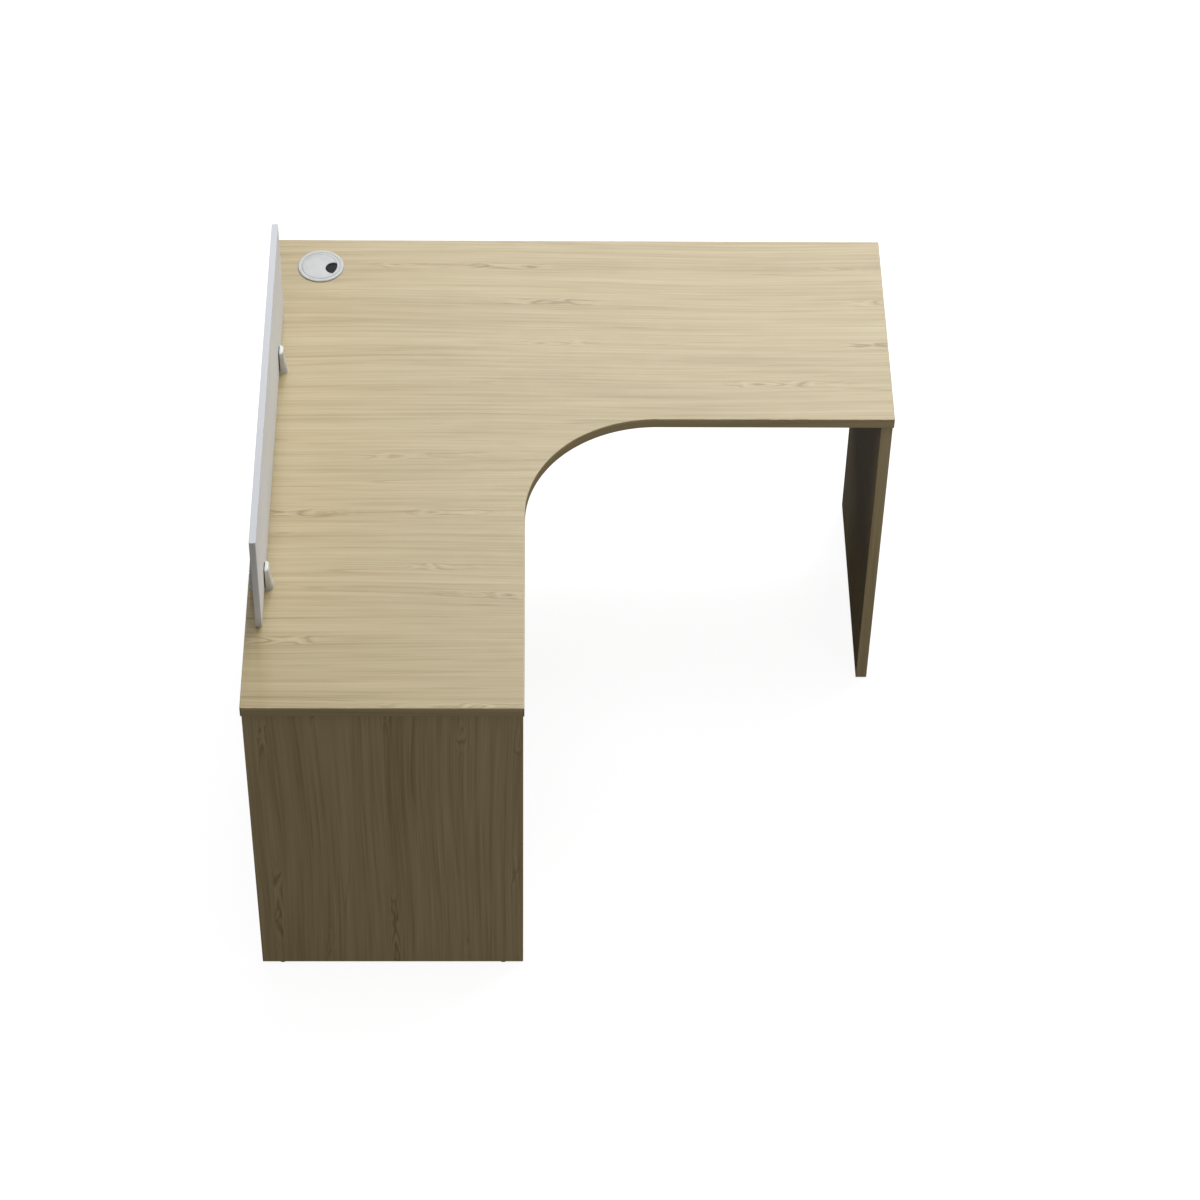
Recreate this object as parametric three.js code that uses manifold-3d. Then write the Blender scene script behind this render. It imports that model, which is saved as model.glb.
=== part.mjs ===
// A corner desk for a teacher, in millimetres: an L-shaped top on two end panels and a corner
// support, with a low white screen clamped along its left side and a cable grommet at the back.
// The origin is on the floor under the middle of the top, +X right, +Y to the back, +Z up.
import * as THREE from 'three';
import { mergeVertices } from 'three/addons/utils/BufferGeometryUtils.js';
import Module from 'manifold-3d';

const wasm = await Module();
wasm.setup();

// The whole desk.
const WIDTH = 1200;              // along the back edge
const DEPTH = 1220;              // along the screen side
const HEIGHT = 750;              // floor to the top's upper face
const WING = 500;                // width of each wing of the L
const CORNER_RADIUS = 250;       // the round inner corner of the L
const BOARD = 22;                // thickness of the top and of the standing panels
const MODESTY_BOARD = 16;        // thickness of the hanging panels
const MODESTY_HEIGHT = 400;
const CORNER_SUPPORT = 300;      // width of each board of the corner support
const BAND = 1.5;                // thickness of the edge banding
const GLUE = 0.2;                // glue line between the board and its banding
const GAP = 0.3;                 // clearance between turned pieces and what holds them
const FOOT_HEIGHT = 4;           // of a levelling foot screwed fully in
const SIDE_INSET = 2;            // standing panels behind the top's left and right edges
const FRONT_INSET = 4;           // standing panels behind the top's front edges
const BACK_INSET = 5;            // standing panels in front of the top's back edge

const LEFT = -WIDTH / 2;
const RIGHT = WIDTH / 2;
const FRONT = -DEPTH / 2;
const BACK = DEPTH / 2;
const WING_SIDE = LEFT + WING;   // the left wing's inner edge
const WING_FRONT = BACK - WING;  // the right wing's front edge
const UNDERSIDE = HEIGHT - BOARD;

// The screen and its two clamp brackets.
const SCREEN = { left: LEFT + 19, right: LEFT + 31, front: FRONT + 186, back: FRONT + 1016 };
const SCREEN_BASE = 6;           // thickness of a bracket's floor under the screen
const SCREEN_HEIGHT = 218;
const BRACKETS = { bracket_near: FRONT + 291, bracket_far: FRONT + 851 };
const BRACKET = { length: 26, height: 54, planRadius: 8, topRadius: 3.5 };
const INNER_JAW_SIZE = { base: 14, top: 7.5 };   // jaw thickness at the desktop and at its top
const OUTER_JAW_SIZE = { base: 11, top: 7 };
const LINER = 2;                 // rubber between the screen and the inner jaw
const PAD = { radius: 7, thickness: 2.2, travel: 2.5 };
const CLAMP_SCREW = { radius: 3, length: 12, height: 32 };
const BASE_SCREW = { radius: 2, length: 18, head: 4, headHeight: 2.4, spread: 8 };

// The cable grommet.
const GROMMET = { x: LEFT + 98, y: FRONT + 1142, hole: 40, tube: 39.6, flange: 45, ledge: 35.5 };
const COVER = { radius: 37.2, thickness: 2.4, bottom: HEIGHT + 0.2 };
const OPENING = { edge: 33, centre: 25.6, radius: 15.6, angle: -13.5 };
const FLAP = { radius: 33.4, halfAngle: 38, thickness: 1.8 };

// Hardware.
const FOOT = { pad: 10, stem: 4, stemLength: 28, insert: 5.7, insertLength: 20, holeDepth: 36 };
const IRON = { leg: 30, width: 20, sheet: 2, bend: 4, hole: 2.4 };

const OAK = { color: 0xcdc1a0, roughness: 0.42, metalness: 0 };
const WHITE_BOARD = { color: 0xe9e8e6, roughness: 0.4, metalness: 0 };
const WHITE_METAL = { color: 0xe4e3e1, roughness: 0.35, metalness: 0.1 };
const WHITE_PLASTIC = { color: 0xdcdcda, roughness: 0.38, metalness: 0 };
const DARK_PLASTIC = { color: 0x202224, roughness: 0.5, metalness: 0 };
const RUBBER = { color: 0x1c1b1a, roughness: 0.8, metalness: 0 };
const ZINC = { color: 0xb4b6b8, roughness: 0.35, metalness: 1 };

const desk = new THREE.Group();

const radians = THREE.MathUtils.degToRad;

function addPart(name, geometry, finish, position = [0, 0, 0], rotation = [0, 0, 0]) {
  const mesh = new THREE.Mesh(geometry, new THREE.MeshStandardMaterial(finish));
  mesh.name = name;
  mesh.position.set(...position);
  mesh.rotation.set(...rotation);
  desk.add(mesh);
}

// Boolean cuts.

function toSolid(geometry) {
  const bare = new THREE.BufferGeometry();
  const source = geometry.index ? geometry.toNonIndexed() : geometry;
  bare.setAttribute('position', source.getAttribute('position'));
  const merged = mergeVertices(bare, 1e-3);
  return new wasm.Manifold(new wasm.Mesh({
    numProp: 3,
    vertProperties: new Float32Array(merged.attributes.position.array),
    triVerts: new Uint32Array(merged.index.array),
  }));
}

function toGeometry(solid) {
  const mesh = solid.getMesh();
  const geometry = new THREE.BufferGeometry();
  geometry.setAttribute('position', new THREE.BufferAttribute(mesh.vertProperties, 3));
  geometry.setIndex(new THREE.BufferAttribute(mesh.triVerts, 1));
  const flat = geometry.toNonIndexed();
  flat.computeVertexNormals();
  return flat;
}

function cut(geometry, cutters) {
  let solid = toSolid(geometry);
  for (const cutter of cutters) {
    solid = solid.subtract(toSolid(cutter));
  }
  return toGeometry(solid);
}

function join(first, second) {
  return toGeometry(toSolid(first).add(toSolid(second)));
}

// Plain shapes, placed in the desk's frame.

function boxBetween(low, high) {
  const [x, y, z] = high.map((value, axis) => value - low[axis]);
  const middle = high.map((value, axis) => (value + low[axis]) / 2);
  return new THREE.BoxGeometry(x, y, z).translate(...middle);
}

function rod(radius, low, high, x = 0, y = 0, sides = 24) {
  const geometry = new THREE.CylinderGeometry(radius, radius, high - low, sides);
  return geometry.rotateX(Math.PI / 2).translate(x, y, (high + low) / 2);
}

function turned(profile, sides = 32) {
  const points = profile.map(([radius, height]) => new THREE.Vector2(radius, height));
  return new THREE.LatheGeometry(points, sides).rotateX(Math.PI / 2);
}

function plate(shape, low, high, curveSegments = 24) {
  const options = { depth: high - low, bevelEnabled: false, curveSegments };
  return new THREE.ExtrudeGeometry(shape, options).translate(0, 0, low);
}

// The L-shaped top and its banding.

function insetTopOutline(inset) {
  const shape = new THREE.Shape();
  const centre = { x: WING_SIDE + CORNER_RADIUS, y: WING_FRONT - CORNER_RADIUS };
  shape.moveTo(LEFT + inset, FRONT + inset);
  shape.lineTo(WING_SIDE - inset, FRONT + inset);
  shape.lineTo(WING_SIDE - inset, centre.y);
  shape.absarc(centre.x, centre.y, CORNER_RADIUS + inset, Math.PI, Math.PI / 2, true);
  shape.lineTo(RIGHT - inset, WING_FRONT + inset);
  shape.lineTo(RIGHT - inset, BACK - inset);
  shape.lineTo(LEFT + inset, BACK - inset);
  shape.closePath();
  return shape;
}

function baseScrewPlaces() {
  const middle = (SCREEN.left + SCREEN.right) / 2;
  return Object.entries(BRACKETS).flatMap(([name, y]) => [
    { name: `${name}_base_screw_front`, x: middle, y: y - BASE_SCREW.spread },
    { name: `${name}_base_screw_back`, x: middle, y: y + BASE_SCREW.spread },
  ]);
}

function buildDesktop() {
  const outline = insetTopOutline(BAND + GLUE);
  const hole = new THREE.Path();
  hole.absarc(GROMMET.x, GROMMET.y, GROMMET.hole, 0, 2 * Math.PI, true);
  outline.holes.push(hole);
  const pilots = baseScrewPlaces().map(({ x, y }) =>
    rod(BASE_SCREW.radius + GAP, HEIGHT - BASE_SCREW.length, HEIGHT + 1, x, y, 16));
  addPart('desktop', cut(plate(outline, UNDERSIDE, HEIGHT), pilots), OAK);
}

function buildTopBanding() {
  const straight = {
    band_left_side: [[LEFT, FRONT], [LEFT + BAND, BACK]],
    band_right_side: [[RIGHT - BAND, WING_FRONT], [RIGHT, BACK]],
    band_back: [[LEFT + BAND + GLUE, BACK - BAND], [RIGHT - BAND - GLUE, BACK]],
    band_left_wing_end: [[LEFT + BAND + GLUE, FRONT], [WING_SIDE - BAND - GLUE, FRONT + BAND]],
  };
  for (const [name, [low, high]] of Object.entries(straight)) {
    addPart(name, boxBetween([...low, UNDERSIDE], [...high, HEIGHT]), OAK);
  }
  const end = RIGHT - BAND - GLUE;
  const centre = { x: WING_SIDE + CORNER_RADIUS, y: WING_FRONT - CORNER_RADIUS };
  const inner = new THREE.Shape();
  inner.moveTo(WING_SIDE, FRONT);
  inner.lineTo(WING_SIDE, centre.y);
  inner.absarc(centre.x, centre.y, CORNER_RADIUS, Math.PI, Math.PI / 2, true);
  inner.lineTo(end, WING_FRONT);
  inner.lineTo(end, WING_FRONT + BAND);
  inner.lineTo(centre.x, WING_FRONT + BAND);
  inner.absarc(centre.x, centre.y, CORNER_RADIUS + BAND, Math.PI / 2, Math.PI, false);
  inner.lineTo(WING_SIDE - BAND, FRONT);
  inner.closePath();
  addPart('band_inner_curve', plate(inner, UNDERSIDE, HEIGHT), OAK);
}

// Standing and hanging panels. Each standing panel's feet sit in holes in its lower edge.

const CORNER_BACK = BACK - BACK_INSET;
const PANEL_LEFT = LEFT + SIDE_INSET;
const PANEL_RIGHT = RIGHT - SIDE_INSET;
const LEFT_PANEL_FRONT = FRONT + FRONT_INSET;
const RIGHT_PANEL_FRONT = WING_FRONT + FRONT_INSET;

const FOOT_PLACES = [
  { panel: 'left_end_panel', x: LEFT + 40, y: LEFT_PANEL_FRONT + BOARD / 2 },
  { panel: 'left_end_panel', x: WING_SIDE - 40, y: LEFT_PANEL_FRONT + BOARD / 2 },
  { panel: 'right_end_panel', x: PANEL_RIGHT - BOARD / 2, y: RIGHT_PANEL_FRONT + 40 },
  { panel: 'right_end_panel', x: PANEL_RIGHT - BOARD / 2, y: BACK - 45 },
  { panel: 'corner_panel_back', x: LEFT + CORNER_SUPPORT - 30, y: CORNER_BACK - BOARD / 2 },
  { panel: 'corner_panel_side', x: PANEL_LEFT + BOARD / 2, y: BACK - CORNER_SUPPORT + 10 },
];

function footHoles(panel) {
  return FOOT_PLACES.filter((place) => place.panel === panel).map(({ x, y }) =>
    rod(FOOT.insert + GAP, 0, FOOT_HEIGHT + FOOT.holeDepth, x, y));
}

function standingPanel(name, low, high) {
  const geometry = boxBetween([...low, FOOT_HEIGHT], [...high, UNDERSIDE]);
  addPart(name, cut(geometry, footHoles(name)), OAK);
}

function panelBand(name, low, high) {
  addPart(name, boxBetween([...low, FOOT_HEIGHT], [...high, UNDERSIDE]), OAK);
}

function buildPanels() {
  const edge = BAND + GLUE;
  const leftBack = LEFT_PANEL_FRONT + BOARD;
  const leftEnd = WING_SIDE - SIDE_INSET;
  standingPanel('left_end_panel', [PANEL_LEFT + edge, LEFT_PANEL_FRONT], [leftEnd - edge, leftBack]);
  panelBand('left_end_panel_band_outer', [PANEL_LEFT, LEFT_PANEL_FRONT], [PANEL_LEFT + BAND, leftBack]);
  panelBand('left_end_panel_band_inner', [leftEnd - BAND, LEFT_PANEL_FRONT], [leftEnd, leftBack]);

  const rightInner = PANEL_RIGHT - BOARD;
  const rightFront = RIGHT_PANEL_FRONT;
  standingPanel('right_end_panel', [rightInner, rightFront + edge], [PANEL_RIGHT, CORNER_BACK - edge]);
  panelBand('right_end_panel_band_front', [rightInner, rightFront], [PANEL_RIGHT, rightFront + BAND]);
  panelBand('right_end_panel_band_back', [rightInner, CORNER_BACK - BAND], [PANEL_RIGHT, CORNER_BACK]);

  const cornerFront = CORNER_BACK - BOARD;
  const cornerEnd = LEFT + CORNER_SUPPORT;
  const sideEnd = BACK - CORNER_SUPPORT - 20;
  standingPanel('corner_panel_back', [PANEL_LEFT, cornerFront], [cornerEnd, CORNER_BACK]);
  standingPanel('corner_panel_side', [PANEL_LEFT, sideEnd], [PANEL_LEFT + BOARD, cornerFront]);

  const bottom = UNDERSIDE - MODESTY_HEIGHT;
  const inset = (BOARD - MODESTY_BOARD) / 2;
  const backLow = [cornerEnd, cornerFront + inset, bottom];
  const backHigh = [rightInner, CORNER_BACK - inset, UNDERSIDE];
  addPart('modesty_panel_back', boxBetween(backLow, backHigh), OAK);
  const sideLow = [PANEL_LEFT + inset, leftBack, bottom];
  const sideHigh = [PANEL_LEFT + BOARD - inset, sideEnd, UNDERSIDE];
  addPart('modesty_panel_side', boxBetween(sideLow, sideHigh), OAK);
}

// Levelling feet: a threaded insert fixed in the panel, and a pad on a steel stem.

function buildFeet() {
  FOOT_PLACES.forEach(({ x, y }, index) => {
    const name = `foot_${index + 1}`;
    const padTop = FOOT_HEIGHT - GAP;
    const pad = turned([
      [0, 0], [FOOT.pad - 0.8, 0], [FOOT.pad, 0.8], [FOOT.pad, padTop - 1.2],
      [FOOT.pad - 1.2, padTop], [0, padTop],
    ], 20);
    const seat = rod(FOOT.stem + GAP / 2, padTop - 2, padTop + 1);
    addPart(`${name}_pad`, cut(pad, [seat]), DARK_PLASTIC, [x, y, 0]);
    const stemLow = padTop - 2 + GAP / 2;
    const stem = rod(FOOT.stem, stemLow, stemLow + FOOT.stemLength);
    addPart(`${name}_stem`, stem, ZINC, [x, y, 0]);
    const insertTop = FOOT_HEIGHT + FOOT.insertLength;
    const insert = turned([
      [FOOT.stem + GAP, FOOT_HEIGHT], [FOOT.insert, FOOT_HEIGHT], [FOOT.insert, insertTop],
      [FOOT.stem + GAP, insertTop], [FOOT.stem + GAP, FOOT_HEIGHT],
    ], 16);
    addPart(`${name}_insert`, insert, ZINC, [x, y, 0]);
  });
}

// Steel angle irons between the panels and the underside of the top.

function ironGeometry() {
  const { leg, sheet, bend, width, hole } = IRON;
  const profile = new THREE.Shape();
  profile.moveTo(0, -leg);
  profile.lineTo(sheet, -leg);
  profile.lineTo(sheet, -bend - sheet);
  profile.absarc(sheet + bend, -bend - sheet, bend, Math.PI, Math.PI / 2, true);
  profile.lineTo(leg, -sheet);
  profile.lineTo(leg, 0);
  profile.lineTo(bend + sheet, 0);
  profile.absarc(bend + sheet, -bend - sheet, bend + sheet, Math.PI / 2, Math.PI, false);
  profile.closePath();
  // The profile lies in X and Y: turn it up so that its second leg hangs down from the top.
  const angle = plate(profile, -width / 2, width / 2, 6).rotateX(Math.PI / 2);
  const holeAt = leg * 0.66;
  const upper = rod(hole, -sheet - 1, 1, holeAt, 0, 16);
  const lower = rod(hole, -1, sheet + 1, 0, 0, 16).rotateY(Math.PI / 2).translate(0, 0, -holeAt);
  return cut(angle, [upper, lower]);
}

function buildIrons() {
  const leftBack = LEFT_PANEL_FRONT + BOARD;
  const rightInner = PANEL_RIGHT - BOARD;
  const inset = (BOARD + MODESTY_BOARD) / 2;
  const backInner = CORNER_BACK - inset;
  const sideInner = PANEL_LEFT + inset;
  const places = [
    { x: LEFT + 110, y: leftBack, turn: 90 },
    { x: WING_SIDE - 110, y: leftBack, turn: 90 },
    { x: rightInner, y: WING_FRONT + 110, turn: 180 },
    { x: rightInner, y: BACK - 130, turn: 180 },
    { x: LEFT + 520, y: backInner, turn: -90 },
    { x: RIGHT - 300, y: backInner, turn: -90 },
    { x: sideInner, y: FRONT + 260, turn: 0 },
    { x: sideInner, y: FRONT + 620, turn: 0 },
  ];
  places.forEach(({ x, y, turn }, index) => {
    const rotation = [0, 0, radians(turn)];
    addPart(`angle_iron_${index + 1}`, ironGeometry(), ZINC, [x, y, UNDERSIDE], rotation);
  });
}

// The screen: a white board dropped into two clamp brackets.

function buildScreen() {
  const bottom = HEIGHT + SCREEN_BASE + GAP;
  const low = [SCREEN.left, SCREEN.front, bottom];
  const high = [SCREEN.right, SCREEN.back, bottom + SCREEN_HEIGHT];
  addPart('screen_board', boxBetween(low, high), WHITE_BOARD);
}

const INNER_JAW = SCREEN.right + LINER;
const OUTER_JAW = SCREEN.left - PAD.thickness - PAD.travel - 2 * GAP;

// Seen from the front: two jaws that taper upwards, with a round top, on one floor.
function bracketProfile() {
  const { height, topRadius } = BRACKET;
  const floor = SCREEN_BASE;
  const side = height - topRadius;
  const right = INNER_JAW + INNER_JAW_SIZE.base;
  const left = OUTER_JAW - OUTER_JAW_SIZE.base;
  const rightTip = INNER_JAW + INNER_JAW_SIZE.top;
  const leftTip = OUTER_JAW - OUTER_JAW_SIZE.top;
  const shape = new THREE.Shape();
  shape.moveTo(left, 0);
  shape.lineTo(right, 0);
  shape.quadraticCurveTo(right - 1, side * 0.45, rightTip, side);
  shape.absarc(rightTip - topRadius, side, topRadius, 0, Math.PI / 2, false);
  shape.lineTo(INNER_JAW, height);
  shape.lineTo(INNER_JAW, floor);
  shape.lineTo(OUTER_JAW, floor);
  shape.lineTo(OUTER_JAW, height);
  shape.lineTo(leftTip + topRadius, height);
  shape.absarc(leftTip + topRadius, side, topRadius, Math.PI / 2, Math.PI, false);
  shape.quadraticCurveTo(left + 1, side * 0.45, left, 0);
  return shape;
}

// Seen from above: a rectangle with round corners.
function bracketPlan() {
  const { length, planRadius } = BRACKET;
  const right = INNER_JAW + INNER_JAW_SIZE.base;
  const left = OUTER_JAW - OUTER_JAW_SIZE.base;
  const end = length / 2;
  const quarter = Math.PI / 2;
  const shape = new THREE.Shape();
  shape.absarc(right - planRadius, planRadius - end, planRadius, -quarter, 0, false);
  shape.absarc(right - planRadius, end - planRadius, planRadius, 0, quarter, false);
  shape.absarc(left + planRadius, end - planRadius, planRadius, quarter, Math.PI, false);
  shape.absarc(left + planRadius, planRadius - end, planRadius, Math.PI, 3 * quarter, false);
  shape.closePath();
  return shape;
}

function bracketGeometry() {
  const { length, height } = BRACKET;
  const jaws = plate(bracketProfile(), -length / 2, length / 2, 8).rotateX(Math.PI / 2);
  const column = plate(bracketPlan(), 0, height, 8);
  const blank = toGeometry(toSolid(jaws).intersect(toSolid(column)));
  const middle = (SCREEN.left + SCREEN.right) / 2;
  const screwHoles = [-BASE_SCREW.spread, BASE_SCREW.spread].flatMap((y) => [
    rod(BASE_SCREW.radius + GAP, -1, SCREEN_BASE + 1, middle, y, 16),
    rod(BASE_SCREW.head + GAP, SCREEN_BASE - BASE_SCREW.headHeight - GAP, SCREEN_BASE + 1, middle, y, 16),
  ]);
  const clampHole = rod(CLAMP_SCREW.radius + GAP, -OUTER_JAW_SIZE.base - 2, 1, 0, 0, 20)
    .rotateY(Math.PI / 2)
    .translate(OUTER_JAW, 0, CLAMP_SCREW.height);
  return cut(blank, [...screwHoles, clampHole]);
}

function baseScrewGeometry() {
  const { radius, length, head, headHeight } = BASE_SCREW;
  const top = SCREEN_BASE;
  return turned([
    [0, GAP - length], [radius - 0.8, GAP - length], [radius, 3 - length],
    [radius, top - headHeight], [head, top - headHeight], [head, top - 0.6],
    [head - 0.8, top], [0, top],
  ], 20);
}

function clampGeometry() {
  const { radius, length } = CLAMP_SCREW;
  const screw = rod(radius, -length, 0, 0, 0, 20);
  const socket = rod(radius * 0.5, -length - 1, -length + 3.5, 0, 0, 6);
  return cut(screw, [socket]).rotateY(Math.PI / 2);
}

function buildBrackets() {
  const padFace = SCREEN.left - GAP;
  for (const [name, y] of Object.entries(BRACKETS)) {
    addPart(`${name}_body`, bracketGeometry(), WHITE_METAL, [0, y, HEIGHT]);
    const linerLow = [SCREEN.right + GAP, y - BRACKET.length / 2 + 2, HEIGHT + SCREEN_BASE + GAP];
    const linerHigh = [INNER_JAW - GAP, y + BRACKET.length / 2 - 2, HEIGHT + BRACKET.height - 2];
    addPart(`${name}_liner`, boxBetween(linerLow, linerHigh), RUBBER);
    const pad = rod(PAD.radius, -PAD.thickness, 0).rotateY(Math.PI / 2);
    const height = HEIGHT + CLAMP_SCREW.height;
    addPart(`${name}_clamp_pad`, pad, DARK_PLASTIC, [padFace, y, height]);
    addPart(`${name}_clamp_screw`, clampGeometry(), ZINC, [padFace - PAD.thickness, y, height]);
  }
  for (const { name, x, y } of baseScrewPlaces()) {
    addPart(name, baseScrewGeometry(), ZINC, [x, y, HEIGHT]);
  }
}

// The cable grommet: a liner in the top, a cover that lifts out, and a flap that closes its opening.

function grommetLinerGeometry() {
  const { tube, flange, ledge } = GROMMET;
  const inside = COVER.radius + GAP;
  const rim = 2.6;
  const shelf = COVER.bottom - HEIGHT - 0.1;
  return turned([
    [inside, -BOARD + 4], [tube, -BOARD + 4], [tube, 0], [flange, 0], [flange, 1.2],
    [flange - 0.6, 2], [flange - 2, rim], [inside + 0.3, rim], [inside, rim - 0.4],
    [inside, shelf], [ledge, shelf], [ledge, shelf - 2], [inside, shelf - 4],
    [inside, -BOARD + 4],
  ], 36);
}

// The opening is a round notch that stops short of the cover's rim.
function coverOpening() {
  const { edge, centre, radius } = OPENING;
  const reach = (edge ** 2 + centre ** 2 - radius ** 2) / (2 * centre);
  const side = Math.sqrt(edge ** 2 - reach ** 2);
  const edgeAngle = Math.atan2(side, reach);
  const notchAngle = Math.atan2(side, reach - centre);
  const outline = new THREE.Shape();
  outline.absarc(0, 0, edge, -edgeAngle, edgeAngle, false);
  outline.absarc(centre, 0, radius, notchAngle, 2 * Math.PI - notchAngle, false);
  outline.closePath();
  return outline;
}

function coverGeometry() {
  const { radius, thickness } = COVER;
  const disc = turned([
    [0, 0], [radius, 0], [radius, thickness - 0.6], [radius - 0.6, thickness], [0, thickness],
  ], 36);
  const opening = plate(coverOpening(), -1, thickness + 1, 12).rotateZ(radians(OPENING.angle));
  const pin = turned([[0, -5.2], [4.6, -5.2], [5.2, -4], [3.6, -3.4], [3.6, 0.5], [0, 0.5]], 16);
  return join(cut(disc, [opening]), pin);
}

function flapGeometry() {
  const { radius, halfAngle, thickness } = FLAP;
  const hub = 7.5;
  const spread = radians(halfAngle);
  const outline = new THREE.Shape();
  outline.absarc(0, 0, radius, -spread, spread, false);
  outline.absarc(0, 0, hub, Math.PI * 0.55, Math.PI * 1.45, false);
  outline.closePath();
  const hole = new THREE.Path();
  hole.absarc(0, 0, 3.6 + GAP, 0, 2 * Math.PI, true);
  outline.holes.push(hole);
  return plate(outline, -0.6 - thickness, -0.6, 16);
}

function buildGrommet() {
  const { x, y } = GROMMET;
  addPart('grommet_liner', grommetLinerGeometry(), WHITE_PLASTIC, [x, y, HEIGHT]);
  addPart('grommet_cover', coverGeometry(), WHITE_PLASTIC, [x, y, COVER.bottom]);
  const closed = [0, 0, radians(OPENING.angle)];
  addPart('grommet_flap', flapGeometry(), DARK_PLASTIC, [x, y, COVER.bottom], closed);
}

buildDesktop();
buildTopBanding();
buildPanels();
buildFeet();
buildIrons();
buildScreen();
buildBrackets();
buildGrommet();

export default desk;
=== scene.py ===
"""The looks of an L-shaped teacher desk: laminated boards, a clamped white screen, a cable grommet,
angle irons and levelling feet, in a plain pale studio. Lengths are in metres."""

import math

import bmesh
import bpy
from mathutils import Matrix, Vector


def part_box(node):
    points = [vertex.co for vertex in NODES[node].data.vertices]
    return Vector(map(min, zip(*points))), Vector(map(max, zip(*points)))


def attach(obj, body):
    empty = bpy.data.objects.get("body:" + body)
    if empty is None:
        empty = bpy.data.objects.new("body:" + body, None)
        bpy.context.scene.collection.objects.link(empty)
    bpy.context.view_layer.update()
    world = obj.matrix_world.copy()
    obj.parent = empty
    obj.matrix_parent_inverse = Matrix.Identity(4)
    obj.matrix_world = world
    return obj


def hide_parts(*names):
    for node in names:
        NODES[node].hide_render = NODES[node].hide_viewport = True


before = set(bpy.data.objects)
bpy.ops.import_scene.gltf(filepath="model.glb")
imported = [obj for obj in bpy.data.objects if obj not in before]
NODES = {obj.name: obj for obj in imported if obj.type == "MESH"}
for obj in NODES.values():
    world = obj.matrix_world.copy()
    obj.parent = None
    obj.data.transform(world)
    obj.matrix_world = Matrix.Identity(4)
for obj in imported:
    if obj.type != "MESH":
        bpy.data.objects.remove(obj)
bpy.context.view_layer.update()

MM = 0.001
X, Y = 0, 1
ROOT = "desk"
scene = bpy.context.scene

# ---------------------------------------------------------------------------------------------
# Stage: camera, lights, floor and backdrop
# ---------------------------------------------------------------------------------------------

CAMERA_PLACE = (-0.0946, -4.7565, 5.5950)
CAMERA_YAW = math.radians(1.695)       # to the right of straight ahead
CAMERA_PITCH = math.radians(47.714)    # below the horizon
CAMERA_ROLL = math.radians(1.362)
FOCAL_RATIO = 3.0252                   # focal length over the frame's width
SENSOR = 36.0                          # width, in the camera's millimetres

AMBIENT = 0.10          # light from all round
FLOOR_RADIUS = 30
FLOOR_SHADE = 0.26      # how strongly the camera sees light and shadow on the floor
FLOOR_GLOW = 0.90       # what the floor shows the camera in any light
FLOOR_BOUNCE = 0.07     # how much light the floor throws back up at the desk


def add_camera():
    """The camera looks down on the desk from the front, almost straight along the side with the screen."""
    forward = Vector((
        math.sin(CAMERA_YAW) * math.cos(CAMERA_PITCH),
        math.cos(CAMERA_YAW) * math.cos(CAMERA_PITCH),
        -math.sin(CAMERA_PITCH),
    ))
    level_right = Vector((math.cos(CAMERA_YAW), -math.sin(CAMERA_YAW), 0))
    level_up = level_right.cross(forward)
    right = math.cos(CAMERA_ROLL) * level_right + math.sin(CAMERA_ROLL) * level_up
    up = math.cos(CAMERA_ROLL) * level_up - math.sin(CAMERA_ROLL) * level_right
    data = bpy.data.cameras.new("camera")
    data.sensor_width = SENSOR
    data.lens = FOCAL_RATIO * SENSOR
    data.clip_end = 100
    camera = bpy.data.objects.new("camera", data)
    scene.collection.objects.link(camera)
    turn = Matrix((right, up, -forward)).transposed().to_4x4()
    camera.matrix_world = Matrix.Translation(CAMERA_PLACE) @ turn
    scene.camera = camera


def add_softbox(name, place, target, size, radiance, colour=(1, 1, 1)):
    """A rectangular area light that looks at target, with the same radiance whatever its size."""
    data = bpy.data.lights.new(name, "AREA")
    data.shape = "RECTANGLE"
    data.size, data.size_y = size
    data.energy = radiance * size[0] * size[1] * math.pi
    data.color = colour
    light = bpy.data.objects.new(name, data)
    direction = Vector(target) - Vector(place)
    light.rotation_euler = direction.to_track_quat("-Z", "Y").to_euler()
    light.location = place
    light.visible_camera = False
    scene.collection.objects.link(light)


def add_lights():
    """A broad light behind the desk shines on the top and in it; the others fill each side softly."""
    desk_top = (0, 0, 0.75)
    low_front = (-0.35, -0.6, 0.36)
    add_softbox("back_softbox", (0.8, 4.2, 4.6), desk_top, (3.6, 3.0), 5.0, (0.98, 1.0, 1.0))
    add_softbox("right_softbox", (3.2, 3.4, 4.6), desk_top, (3.4, 3.0), 3.8, (0.98, 1.0, 1.0))
    add_softbox("overhead_softbox", (0.1, -0.3, 5.2), desk_top, (3.0, 2.4), 3.6, (0.955, 1.0, 0.995))
    add_softbox("front_fill", (3.0, -4.1, 0.36), low_front, (3.2, 0.6), 7.6, (1.0, 0.965, 0.93))
    add_softbox("left_fill", (-5.2, -0.6, 2.6), desk_top, (2.6, 2.0), 1.8)
    add_softbox("rear_fill", (-1.0, 5.6, 1.7), desk_top, (3.0, 1.6), 1.6)


def background(tree, colour, strength):
    made = tree.nodes.new("ShaderNodeBackground")
    made.inputs["Color"].default_value = (*colour, 1)
    made.inputs["Strength"].default_value = strength
    return made.outputs["Background"]


def mix_for_camera(tree, others, camera):
    """The shader that the camera sees straight, and another one for light that bounces."""
    rays = tree.nodes.new("ShaderNodeLightPath")
    mix = tree.nodes.new("ShaderNodeMixShader")
    tree.links.new(rays.outputs["Is Camera Ray"], mix.inputs["Fac"])
    tree.links.new(others, mix.inputs[1])
    tree.links.new(camera, mix.inputs[2])
    return mix.outputs["Shader"]


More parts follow.
